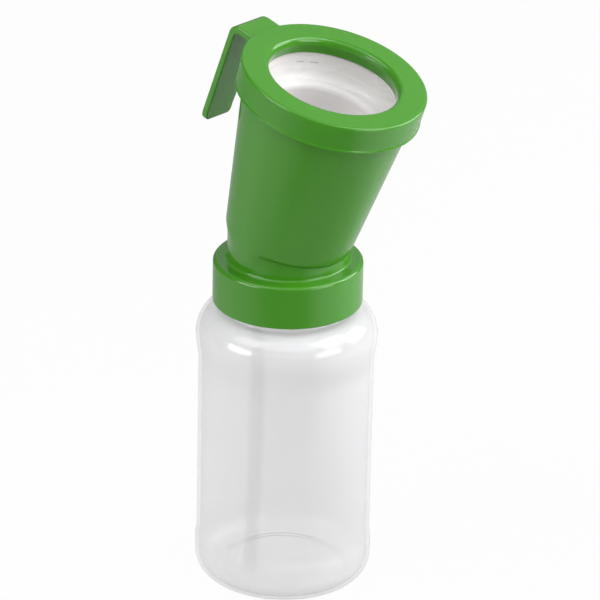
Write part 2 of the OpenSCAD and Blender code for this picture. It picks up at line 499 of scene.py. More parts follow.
class Recipe:
    """Builds the node tree of one material or of the room's daylight."""

    def __init__(self, owner: bpy.types.Material | bpy.types.World) -> None:
        """Empties the owner's node tree.

        Args:
            owner: Material or world that the nodes belong to.
        """
        self.owner = owner
        owner.use_nodes = True
        self.tree = owner.node_tree
        self.tree.nodes.clear()

    def node(self, kind: str, settings: dict | None = None, inputs: dict | None = None) -> bpy.types.Node:
        """Adds any node.

        Args:
            kind: Blender's node type.
            settings: The node's own settings; "stops" fills a colour ramp.
            inputs: Values or links by socket name or number.

        Returns:
            The new node.
        """
        node = self.tree.nodes.new(kind)
        for key, value in (settings or {}).items():
            if key == "stops":
                self._fill_ramp(node.color_ramp, value)
            else:
                setattr(node, key, value)
        for key, value in (inputs or {}).items():
            socket = node.inputs[key]
            source = value.socket if isinstance(value, Value) else value
            if isinstance(source, bpy.types.NodeSocket):
                self.tree.links.new(source, socket)
            elif isinstance(source, tuple) and socket.type == "RGBA":
                socket.default_value = (*source[:3], 1.0)
            else:
                socket.default_value = source
        return node

    @staticmethod
    def _fill_ramp(ramp: bpy.types.ColorRamp, stops: Sequence[tuple[float, float]]) -> None:
        """Sets a ramp's stops.

        Args:
            ramp: Ramp of a Color Ramp node.
            stops: Pairs of place and grey value.
        """
        while len(ramp.elements) > 1:
            ramp.elements.remove(ramp.elements[-1])
        for i, (place, grey) in enumerate(stops):
            element = ramp.elements[0] if i == 0 else ramp.elements.new(place)
            element.position = place
            element.color = (grey, grey, grey, 1.0)

    def value(
        self, kind: str, output: str | int, settings: dict | None = None, inputs: dict | None = None
    ) -> Value:
        """Adds a node and wraps one of its outputs.

        Args:
            kind: Blender's node type.
            output: Name or number of the output.
            settings: The node's own settings.
            inputs: Values or links by socket.

        Returns:
            The wrapped output.
        """
        return Value(self, self.node(kind, settings, inputs).outputs[output])

    def place(self) -> Value:
        """Returns the point's place in the piece's own frame, in metres."""
        return self.value("ShaderNodeTexCoord", "Object")

    def stretched(self, scale: Triple, turn: Triple = (0, 0, 0)) -> Value:
        """Stretches and turns the place.

        Args:
            scale: Scale along each axis.
            turn: Turn about each axis in radians.

        Returns:
            The stretched place.
        """
        inputs = {"Vector": self.place(), "Scale": scale, "Rotation": turn}
        return self.value("ShaderNodeMapping", 0, None, inputs)

    def noise(self, grain: Grain) -> Value:
        """Adds soft noise from 0 to 1.

        Args:
            grain: Scale and shape of the noise.

        Returns:
            The noise value.
        """
        place = self.place() if grain.stretch is None else self.stretched(grain.stretch, grain.turn)
        inputs = {"Vector": place, "Scale": grain.scale, "Detail": grain.detail, "Roughness": grain.roughness}
        return self.value("ShaderNodeTexNoise", 0, None, inputs)

    def ramp(self, value: Value, stops: Sequence[tuple[float, float]]) -> Value:
        """Sends a value through a grey ramp.

        Args:
            value: Input from 0 to 1.
            stops: Pairs of place and grey value.

        Returns:
            The ramp's result.
        """
        return self.value("ShaderNodeValToRGB", 0, {"stops": stops}, {0: value})

    def blend(self, factor: Value | float, first: Value | Colour, second: Value | Colour) -> Value:
        """Mixes two colours.

        Args:
            factor: 0 gives the first colour and 1 the second.
            first: First colour.
            second: Second colour.

        Returns:
            The mixed colour.
        """
        return self.value("ShaderNodeMix", 2, {"data_type": "RGBA"}, {0: factor, 6: first, 7: second})

    def bump(self, height: Value, strength: float, distance: float, normal: Value | None = None) -> Value:
        """Turns heights into a bent normal.

        Args:
            height: Height from 0 to 1.
            strength: Strength of the effect.
            distance: Height of 1, in metres.
            normal: Normal that is bent further.

        Returns:
            The bent normal.
        """
        inputs: dict = {"Height": height, "Strength": strength, "Distance": distance}
        if normal is not None:
            inputs["Normal"] = normal
        return self.value("ShaderNodeBump", 0, None, inputs)

    def straight_view(self) -> Value:
        """Returns 1 where a camera or transmission ray looks, and 0 for every other ray."""
        path = self.node("ShaderNodeLightPath")
        rays = {0: path.outputs["Is Camera Ray"], 1: path.outputs["Is Transmission Ray"]}
        return self.value("ShaderNodeMath", 0, {"operation": "MAXIMUM"}, rays)

    def plastic(self, inputs: dict, settings: dict | None = None) -> bpy.types.Material:
        """Ends the tree with a Principled shader.

        Args:
            inputs: The shader's values and links by socket name.
            settings: The shader's own settings.

        Returns:
            The finished material.
        """
        return self.finish(self.node("ShaderNodeBsdfPrincipled", settings, inputs))

    def finish(self, shader: bpy.types.Node) -> bpy.types.Material | bpy.types.World:
        """Connects the shader to the output.

        Args:
            shader: Last shader node.

        Returns:
            The finished material or world.
        """
        kind = "World" if isinstance(self.owner, bpy.types.World) else "Material"
        self.node("ShaderNodeOutput" + kind, None, {"Surface": shader.outputs[0]})
        return self.owner


# ---------------------------------------------------------------- finishes


@dataclass(frozen=True)
class MouldedPlastic:
    """Solid coloured plastic from a polished mould: soft gloss, faint flow marks, fine skin."""

    name: str
    colour: Colour
    pale_colour: Colour
    roughness: float = 0.15
    subsurface: float = 0.0
    soak: float = 0.0012
    ior: float = 1.49
    sheen: float = 0.5
    flow: Grain = Grain(26.0, 2.0, stretch=(1.0, 1.0, 0.35))
    flow_range: tuple[Pair, ...] = ((0.3, 0.0), (0.7, 1.0))
    flow_tone: float = 0.45
    flow_gloss: float = 0.03
    specks: Grain = Grain(900.0, 2.0)
    speck_tone: float = 0.12
    rubs: Grain = Grain(1.0, 4.0, 0.6, (60.0, 60.0, 380.0), (0.4, 0.3, 0.0))
    rub_range: tuple[Pair, ...] = ((0.5, 0.0), (0.9, 1.0))
    rub_gloss: float = 0.04
    skin: Grain = Grain(1100.0, 2.0)
    skin_bump: Pair = (0.12, 0.00006)
    waves: Grain = Grain(70.0, 1.0)
    wave_bump: Pair = (0.2, 0.00022)

    def make(self) -> bpy.types.Material:
        """Builds the material.

        Returns:
            The finished material.
        """
        mix = Recipe(bpy.data.materials.new(self.name))
        clouds = mix.ramp(mix.noise(self.flow), self.flow_range)
        pale = clouds * self.flow_tone + mix.noise(self.specks) * self.speck_tone
        scuffs = mix.ramp(mix.noise(self.rubs), self.rub_range)
        skin = mix.bump(mix.noise(self.skin), *self.skin_bump)
        inputs = {
            "Base Color": mix.blend(pale, self.colour, self.pale_colour),
            "Roughness": self.roughness + clouds * self.flow_gloss + scuffs * self.rub_gloss,
            "Normal": mix.bump(mix.noise(self.waves), *self.wave_bump, skin),
            "IOR": self.ior,
            "Specular IOR Level": self.sheen,
            "Subsurface Weight": self.subsurface,
            "Subsurface Radius": (1.0, 1.0, 1.0),
            "Subsurface Scale": self.soak,
        }
        return mix.plastic(inputs, {"subsurface_method": "BURLEY"})


@dataclass(frozen=True)
class NaturalPlastic:
    """Undyed milky plastic that lets light through, with blow-moulding flow lines."""

    name: str
    colour: Colour
    cloudy_colour: Colour
    veil: float = 0.3
    roughness: float = 0.14
    ior: float = 1.9
    flow: Grain = Grain(40.0, 1.0, stretch=(1.0, 1.0, 0.15))
    flow_bump: Pair = (0.05, 0.0003)
    clouds: Grain = Grain(14.0, 1.0)
    haze_gloss: float = 0.05
    haze_veil: float = 0.04

    def make(self) -> bpy.types.Material:
        """Builds the material.

        Returns:
            The finished material.
        """
        mix = Recipe(bpy.data.materials.new(self.name))
        streaks = mix.noise(self.flow)
        haze = mix.noise(self.clouds) * 0.5 + streaks * 0.5
        return mix.plastic({
            "Base Color": mix.blend(haze, self.colour, self.cloudy_colour),
            "Roughness": self.roughness + haze * self.haze_gloss,
            "IOR": self.ior,
            "Alpha": haze * self.haze_veil + self.veil,
            "Normal": mix.bump(streaks, *self.flow_bump),
        })


@dataclass(frozen=True)
class SoftRubber:
    """Matt sealing rubber with a fine dusty grain."""

    name: str
    colour: Colour
    dusty_colour: Colour
    roughness: float = 0.62
    grain: Grain = Grain(700.0, 4.0)
    grain_gloss: float = 0.2
    grain_bump: Pair = (0.3, 0.0001)
    dust: Grain = Grain(120.0)
    dust_range: tuple[Pair, ...] = ((0.4, 0.0), (0.8, 1.0))
    dust_tone: float = 0.6

    def make(self) -> bpy.types.Material:
        """Builds the material.

        Returns:
            The finished material.
        """
        mix = Recipe(bpy.data.materials.new(self.name))
        grain = mix.noise(self.grain)
        dust = mix.ramp(mix.noise(self.dust), self.dust_range)
        return mix.plastic({
            "Base Color": mix.blend(dust * self.dust_tone, self.colour, self.dusty_colour),
            "Roughness": self.roughness + grain * self.grain_gloss,
            "Normal": mix.bump(grain, *self.grain_bump),
        })


CUP_GREEN = MouldedPlastic("cup_green", srgb(60, 130, 24), srgb(68, 138, 34))
RING_GREEN = MouldedPlastic("ring_green", srgb(60, 131, 25), srgb(68, 139, 36), subsurface=0.4, soak=0.003)
INSERT_WHITE = MouldedPlastic(
    "insert_white", srgb(228, 224, 225), srgb(234, 231, 232), roughness=0.26, subsurface=0.12
)
BOTTLE_MILKY = NaturalPlastic("bottle_milky", srgb(236, 236, 237), srgb(226, 226, 228))
TUBE_MILKY = NaturalPlastic(
    "tube_milky", srgb(247, 247, 247), srgb(240, 241, 242), veil=0.028, roughness=0.2, ior=1.6
)
GASKET_GREY = SoftRubber("gasket_grey", srgb(70, 72, 74), srgb(112, 113, 114))

Finish = MouldedPlastic | NaturalPlastic | SoftRubber


# ---------------------------------------------------------------- places


RING_JOINT = next(joint for joint in frame["joints"] if joint["name"] == "ring_turn")
LEAN = math.atan2(RING_JOINT["axis"][0], RING_JOINT["axis"][2])
# The cup's own frame in millimetres: its axis is Z, and it starts where that crosses the bottle's.
CUP = Matrix.Translation(Vector(RING_JOINT["pos_m"]) / MM) @ Matrix.Rotation(LEAN, 4, "Y")
CUP_BACK = CUP.inverted()


def dress(piece: bpy.types.Object, finish: Finish) -> None:
    """Gives a piece its finish.

    Args:
        piece: Object to dress.
        finish: Finish to build.
    """
    piece.data.materials.append(finish.make())


def dress_node(node: str, finish: Finish) -> None:
    """Gives a carried-over CAD node its finish.

    Args:
        node: Name of the CAD node.
        finish: Finish to build.
    """
    material = finish.make()
    for slot in frame["nodes"][node].material_slots:
        slot.material = material


# ---------------------------------------------------------------- bottle


@dataclass
class Bottle:
    """Squeeze bottle: blow-moulded, with a pushed-up base, a proud shoulder and a threaded neck.

    Each wave of the wall's unevenness is a count round the bottle, a shift, a twist and a share.
    """

    flat_r: float = 16.0
    push_up: float = 2.6
    slope_out: Pair = (18.2, 22.5)
    slope_in: Pair = (18.0, 22.1)
    base_r: float = 26.5
    foot_r: float = 32.4
    foot_z: float = 7.6
    foot_end_z: Pair = (13.0, 17.5)
    body_r: float = 31.9
    body_top_z: float = 84.0
    shoulder_r: float = 33.0
    shoulder_z: float = 95.8
    shoulder_in_r: float = 24.6
    neck_z: float = 106.3
    neck_r: float = 23.2
    neck_bore_r: float = 21.8
    neck_round: float = 0.6
    mouth_z: float = 122.0
    mouth_round: float = 0.4
    wall: float = 1.2
    seam_azimuth: float = 33.75
    seam_reach: float = 0.5
    seam_height: float = 0.08
    slack: float = 0.1
    still_r: float = 10.0
    still_low_z: Pair = (2.0, 14.0)
    still_high_z: Pair = (100.0, 106.0)
    waves: tuple[tuple[float, ...], ...] = ((2, 0.8, 0.021, 0.5), (3, 0.0, -0.045, 0.3), (5, 1.7, 0.06, 0.2))
    grid: float = 3.0
    thread: Thread = Thread(
        root_r=23.2, crest_r=24.6, pitch=4.0, root_w=2.0, crest_w=0.9, start_z=109.7, turns=2.3
    )

    def skin_line(self, depth: float, slope: Pair, neck_r: float) -> list[Pair]:
        """Works out the outline of one skin, from the base's middle to the mouth.

        Args:
            depth: How far the skin lies inside the outer one.
            slope: Radii between which the pushed-up middle comes down.
            neck_r: Radius of the skin at the neck.

        Returns:
            The outline's points.
        """
        line = Outline().to(0, self.push_up + depth).to(self.flat_r, self.push_up + depth)
        line.ease((slope[0], self.push_up + depth), (slope[1], depth))
        line.arc((self.base_r, self.foot_z), (self.foot_r - self.base_r - depth, self.foot_z - depth), -90, 0)
        line.ease((self.foot_r - depth, self.foot_end_z[0]), (self.body_r - depth, self.foot_end_z[1]))
        line.ease((self.body_r - depth, self.body_top_z), (self.shoulder_r - depth, self.shoulder_z))
        shoulder = (self.shoulder_r - self.shoulder_in_r - depth, self.neck_z - self.shoulder_z - depth)
        line.arc((self.shoulder_in_r, self.shoulder_z), shoulder, 0, 90)
        line.to(neck_r, self.neck_z - depth, self.neck_round).to(neck_r, self.mouth_z, self.mouth_round)
        line.to((self.neck_r + self.neck_bore_r) / 2, self.mouth_z)
        return line.points()

    def settle(self, azimuth: float, point: Vector, seam: bool) -> Vector:
        """Moves a skin point by the blown wall's slight unevenness.

        Args:
            azimuth: Angle about the bottle's axis, in degrees.
            point: Point on the true outline.
            seam: Whether the parting line shows on this skin.

        Returns:
            The moved point.
        """
        radius = math.hypot(point.x, point.y)
        if radius < self.still_r:
            return point
        a = math.radians(azimuth)
        share = smooth_step(*self.still_low_z, point.z) * (1 - smooth_step(*self.still_high_z, point.z))
        wave = sum(math.sin(n * a + shift + point.z * twist) * part for n, shift, twist, part in self.waves)
        move = -self.slack * share * (1 + wave) / 2
        off_seam = min(abs(azimuth - self.seam_azimuth), abs(azimuth - self.seam_azimuth - 180))
        if seam and off_seam < self.seam_reach:
            move += self.seam_height * share
        scale = 1 + move / radius
        return Vector((point.x * scale, point.y * scale, point.z))

    def mesh(self) -> bmesh.types.BMesh:
        """Builds both skins as one closed shell, with the neck's thread.

        Returns:
            The mesh in metres.
        """
        rings: list[Ring] = []
        outer = self.skin_line(0.0, self.slope_out, self.neck_r)
        inner = self.skin_line(self.wall, self.slope_in, self.neck_bore_r)[::-1]
        for line, seam in ((outer, True), (inner, False)):
            for ring in rings_of(densify(line, self.grid)):
                step = 360 / len(ring)
                rings.append([self.settle(step * i, p, seam) for i, p in enumerate(ring)])
        return merge(skin(rings), self.thread.mesh())

    def build(self) -> bpy.types.Object:
        """Makes the bottle and dresses it.

        Returns:
            The bottle's object.
        """
        piece = add_piece("bottle_shell", self.mesh())
        shade(piece)
        dress(piece, BOTTLE_MILKY)
        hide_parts("bottle")
        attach(piece, "bottle")
        return piece


# ---------------------------------------------------------------- cap and dip cup


@dataclass
class CupHead:
    """Screw cap, stem and leaning dip cup, moulded in one piece, with the tube's spigot."""

    cap_r: float = 27.15
    cap_z: float = 109.1
    cap_top_z: float = 125.3
    cap_roof_z: float = 123.3
    cap_bore_r: float = 25.0
    cap_bore_round: float = 0.5
    cap_edge: float = 1.5
    cap_foot_round: float = 0.45
    recess_r: float = 19.8
    recess_corner: tuple[Pair, ...] = ((1.0, 0.0), (0.3, 0.1), (0.0, 0.8))
    stem_r: float = 22.0
    stem_fillet: float = 2.0
    stem_top_h: float = 2.0
    stem_round: float = 1.5
    foot_r: float = 23.2
    foot_round: float = 1.8
    top_r: float = 30.8
    cup_len: float = 57.2
    inside_r: float = 27.9
    rim_r: float = 29.7
    rim_h: float = 63.2
    floor_h: float = -3.6
    floor_t: float = 2.2
    floor_r: float = 20.4
    floor_round: float = 4.0
    edge: float = 0.3
    crease_round: float = 0.4
    soft_round: float = 1.4
    soft_azimuths: Pair = (64.0, 94.0)
    fade_azimuths: Pair = (100.0, 180.0)
    fade_share: float = 0.5
    skirt_in: float = 0.9
    skirt_depths: Pair = (-1.0, 9.0)
    search_r: Pair = (20.0, 34.0)
    search_step: float = 0.4
    halvings: int = 12
    stem_slices: int = 14
    foot_slices: int = 33
    fine_slices: int = 26
    fine_step: float = 0.1
    coarse_step: float = 0.5
    foot_from_h: float = -0.5
    walls_from_h: float = 7.0
    outer_grid: float = 6.0
    inner_grid: float = 8.0
    spigot_x: float = -12.5
    spigot_foot_z: float = 112.0
    spigot_r: float = 2.2
    spigot_bore_r: float = 1.4
    channel_z: Pair = (118.0, 150.0)
    cap_thread: Thread = Thread(
        root_r=25.0, crest_r=23.55, pitch=4.0, root_w=2.0, crest_w=0.9, start_z=112.0, turns=2.0
    )
    rim_thread: Thread = Thread(
        root_r=29.7, crest_r=30.7, pitch=3.0, root_w=1.4, crest_w=0.6, start_z=58.9, turns=1.15
    )

    @property
    def slope(self) -> float:
        """How much the cup's radius grows with its height."""
        return (self.top_r - self.foot_r) / self.cup_len

    def recess_ring(self, radius: float, height: float) -> Ring:
        """Makes a circle about the bottle's axis, seen from above, on a plane across the cup.

        Args:
            radius: Radius of the circle.
            height: Height of the plane along the cup's axis.

        Returns:
            The ring's points.
        """
        origin, normal = CUP @ Vector((0, 0, height)), CUP.to_3x3() @ Vector((0, 0, 1))
        ring = ring_of(radius, 0.0)
        for p in ring:
            p.z = origin.z - (normal.x * (p.x - origin.x) + normal.y * (p.y - origin.y)) / normal.z
        return ring

    def under(self) -> list[Ring]:
        """Returns the rings from the middle of the recess's ceiling to the cap's lower edge."""
        ceiling = self.floor_h - self.floor_t
        rings = [self.recess_ring(0.0, ceiling)]
        for inward, down in self.recess_corner:
            rings.append(self.recess_ring(self.recess_r - inward, ceiling - down))
        line = Outline().to(self.recess_r, self.cap_roof_z + 0.5)
        line.to(self.recess_r, self.cap_roof_z, self.edge)
        line.to(self.cap_bore_r, self.cap_roof_z, self.cap_bore_round)
        line.to(self.cap_bore_r, self.cap_z, self.edge).to(self.cap_r - 0.8, self.cap_z)
        return rings + rings_of(line.points())

    def cap_outside(self) -> list[Ring]:
        """Returns the rings from the cap's lower edge to the foot of the stem."""
        line = Outline().to(self.cap_r - 0.7, self.cap_z).to(self.cap_r, self.cap_z, self.cap_foot_round)
        line.to(self.cap_r, self.cap_top_z, self.cap_edge).to(self.stem_r, self.cap_top_z, self.stem_fillet)
        line.to(self.stem_r, self.cap_top_z + self.stem_fillet + 0.05)
        return rings_of(line.points())

    def distance(self, point: Vector, azimuth: float) -> float:
        """Measures how far a point lies outside the stem and the cup together.

        Args:
            point: Point in the part's frame.
            azimuth: Its direction about the axis, in degrees from -180 to 180.

        Returns:
            The distance, negative inside.
        """
        q = CUP_BACK @ point
        side = (math.hypot(q.x, q.y) - self.foot_r - self.slope * q.z) / math.hypot(1, self.slope)
        foot = self._rounded(side, -q.z, self.foot_round)
        skirt = side + self.skirt_in * smooth_step(*self.skirt_depths, -q.z)
        away = abs(azimuth)
        fade = self.fade_share * smooth_step(*self.fade_azimuths, away)
        soft = smooth_step(*self.soft_azimuths, away) * (1 - fade)
        cone = foot + (skirt - foot) * soft
        stem_side = math.hypot(point.x, point.y) - self.stem_r
        stem = self._rounded(stem_side, q.z - self.stem_top_h, self.stem_round)
        k = self.crease_round + (self.soft_round - self.crease_round) * soft
        near = max(k - abs(cone - stem), 0.0) / k
        return min(cone, stem) - near * near * k / 4

    @staticmethod
    def _rounded(side: float, end: float, rounding: float) -> float:
        """Measures the distance from a body that ends in a rounded edge.

        Args:
            side: Distance from its side.
            end: Distance from its end.
            rounding: Radius of the edge.

        Returns:
            The distance, negative inside.
        """
        a, b = side + rounding, end + rounding
        return math.hypot(a, b) - rounding if a > 0 and b > 0 else max(side, end)

    def join_ring(self, foot: Vector, tilt: float) -> Ring:
        """Finds the skin of the joined stem and cup on one slice.

        Args:
            foot: Point where the slice crosses the piece's middle line.
            tilt: Lean of the slice in radians.

        Returns:
            The ring's points.
        """
        ring: Ring = []
        turn = Matrix.Rotation(tilt, 3, "Y")
        step = 360 / AROUND
        for i in range(AROUND):
            azimuth = (step * i + 180) % 360 - 180
            a = math.radians(azimuth)
            out = turn @ Vector((math.cos(a), math.sin(a), 0))
            low = reach = self.search_r[0]
            while self.distance(foot + out * reach, azimuth) < 0 and reach < self.search_r[1]:
                low, reach = reach, reach + self.search_step
            for _ in range(self.halvings):
                middle = (low + reach) / 2
                if self.distance(foot + out * middle, azimuth) < 0:
                    low = middle
                else:
                    reach = middle
            ring.append(foot + out * (low + reach) / 2)
        return ring

    def stem_and_foot(self) -> list[Ring]:
        """Returns the rings of the stem, the crease and the cup's rounded foot."""
        start_z = self.cap_top_z + self.stem_fillet + 0.1
        end_z = (CUP @ Vector((0, 0, self.foot_from_h))).z
        rings = []
        for i in range(1, self.stem_slices + 1):
            s = i / self.stem_slices
            rings.append(self.join_ring(Vector((0, 0, start_z + (end_z - start_z) * s)), LEAN * s))
        for k in range(1, self.foot_slices + 1):
            rise = self.fine_step * min(k, self.fine_slices)
            h = self.foot_from_h + rise + self.coarse_step * max(k - self.fine_slices, 0)
            rings.append(self.join_ring(CUP @ Vector((0, 0, h)), LEAN))
        return rings

    def cup_walls(self) -> list[Ring]:
        """Returns the rings of the cup from above its foot, over the rim and down to its floor."""
        line = Outline().to(self.foot_r + self.slope * self.walls_from_h, self.walls_from_h)
        line.to(self.top_r, self.cup_len + 0.2, self.edge).to(self.rim_r, self.cup_len + 0.7, self.edge)
        line.to(self.rim_r, self.rim_h, 0.4).to(self.inside_r + 0.1, self.rim_h, self.edge)
        line.to(self.inside_r, self.cup_len)
        outer = densify(line.points(), self.outer_grid)
        inner = Outline().to(self.inside_r, self.cup_len).to(self.floor_r, self.floor_h, self.floor_round)
        inner.to(3.0, self.floor_h).to(0.0, self.floor_h)
        return rings_of(outer + densify(inner.points(), self.inner_grid)[1:], CUP)

    def spigot(self) -> bmesh.types.BMesh:
        """Builds the hollow spigot that the tube is pushed onto.

        Returns:
            The mesh in metres.
        """
        place = Matrix.Translation((self.spigot_x, 0, 0))
        top = (CUP @ Vector((self.spigot_x, 0, self.floor_h - 1.0))).z
        line = Outline().to(self.spigot_bore_r, self.spigot_foot_z, 0.2)
        line.to(self.spigot_r, self.spigot_foot_z, 0.4).to(self.spigot_r, top).to(self.spigot_bore_r, top)
        return skin(rings_of(line.points(closed=True), place), closed=True)

    def build(self) -> bpy.types.Object:
        """Makes the head and dresses it.

        Returns:
            The head's object.
        """
        rings = self.under() + self.cap_outside() + self.stem_and_foot() + self.cup_walls()
        piece = add_piece("cup_and_cap", skin(rings))
        channel = [(self.spigot_bore_r, z) for z in self.channel_z]
        cut(piece, [skin(rings_of(channel, Matrix.Translation((self.spigot_x, 0, 0))))])
        mesh = bmesh.new()
        mesh.from_mesh(piece.data)
        merge(mesh, self.spigot(), self.cap_thread.mesh(), self.rim_thread.mesh(CUP))
        mesh.to_mesh(piece.data)
        mesh.free()
        shade(piece)
        dress(piece, CUP_GREEN)
        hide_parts("cup_head")
        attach(piece, "head")
        return piece


# ---------------------------------------------------------------- non-return insert


@dataclass
class Insert:
    """White non-return well with a funnel, a rim, a flange and four return slots."""

    wall: float = 1.3
    floor_h: float = 8.0
    floor_flat_r: float = 6.0
    foot_r: float = 15.6
    foot_round: Pair = (3.0, 4.0)
    top_r: float = 19.6
    top_h: float = 48.2
    top_round: float = 3.0
    funnel_in: float = 1.2
    funnel_h: float = 55.6
    funnel_round: Pair = (3.7, 4.7)
    rim_r: float = 25.0
    rim_h: float = 56.0
    pocket_r: float = 26.3
    pocket_wall: float = 1.2
    pocket_h: float = 60.95
    flange_r: float = 29.4
    flange_h: float = 63.25
    flange_t: float = 1.6
    edge: float = 0.3
    slot_h: float = 56.8
    slot_width: float = 3.0
    slot_height: float = 0.3
    slot_turns: tuple[float, ...] = (-44, -31.5, 31.5, 44)
    grid: float = 6.0

    def outline(self) -> list[Pair]:
        """Returns the wall's outline, from under the floor's middle over the flange and back down."""
        t, top = self.wall, self.flange_h + self.flange_t
        foot = (self.foot_r - self.foot_round[0], self.floor_h + self.foot_round[1])
        funnel = (self.top_r + self.funnel_in, self.funnel_h)
        line = Outline().to(0, self.floor_h - t).to(self.floor_flat_r, self.floor_h - t)
        line.arc(foot, (self.foot_round[0] + t, self.foot_round[1] + t), -90, 0)
        line.to(self.top_r + t, self.top_h + 0.4)
        line.arc(funnel, (self.funnel_round[0] + t, self.funnel_round[1] + t), -80, -8)
        line.to(self.rim_r + t, self.rim_h).to(self.rim_r + t, self.pocket_h - 1.6, 0.4)
        outer_r = self.pocket_r + self.pocket_wall
        line.to(outer_r, self.pocket_h - 0.8, 0.4).to(outer_r, self.flange_h, 0.4)
        line.to(self.flange_r, self.flange_h, self.edge).to(self.flange_r, top, self.edge)
        line.to(self.pocket_r, top, self.edge).to(self.pocket_r, self.pocket_h - 0.1, 0.2)
        line.to(self.rim_r, self.pocket_h - 0.2, 0.35).to(self.rim_r, self.rim_h)
        line.arc(funnel, self.funnel_round, -8, -72)
        line.arc((self.top_r + self.top_round, self.top_h), (self.top_round, self.top_round), 112, 180)
        line.to(self.top_r, self.top_h - 0.4).arc(foot, self.foot_round, 0, -90)
        return line.to(self.floor_flat_r, self.floor_h).to(0, self.floor_h).points()

    def slot_cutter(self, turn: float) -> bmesh.types.BMesh:
        """Builds the round-ended bar that opens one slot.

        Args:
            turn: Angle from the hook's side, in degrees.

        Returns:
            The mesh in metres.
        """
        end = self.slot_height / 2
        reach = self.slot_width / 2 - end
        place = CUP @ Matrix.Rotation(math.radians(180 + turn), 4, "Z")
        section = []
        for side, start in ((1, -90), (-1, 90)):
            for k in range(round(180 / EDGE_STEP) + 1):
                a = math.radians(start + EDGE_STEP * k)
                section.append((side * reach + end * math.cos(a), self.slot_h + end * math.sin(a)))
        ends = (self.rim_r - self.slot_width, self.rim_r + self.slot_width)
        return skin([[place @ Vector((r, y, h)) for y, h in section] for r in ends])

    def build(self) -> bpy.types.Object:
        """Makes the insert and dresses it.

        Returns:
            The insert's object.
        """
        piece = add_piece("insert_well", skin(rings_of(densify(self.outline(), self.grid), CUP)))
        cut(piece, [self.slot_cutter(turn) for turn in self.slot_turns])
        shade(piece)
        dress(piece, INSERT_WHITE)
        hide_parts("insert")
        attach(piece, "insert")
        return piece


# ---------------------------------------------------------------- ring and belt hook


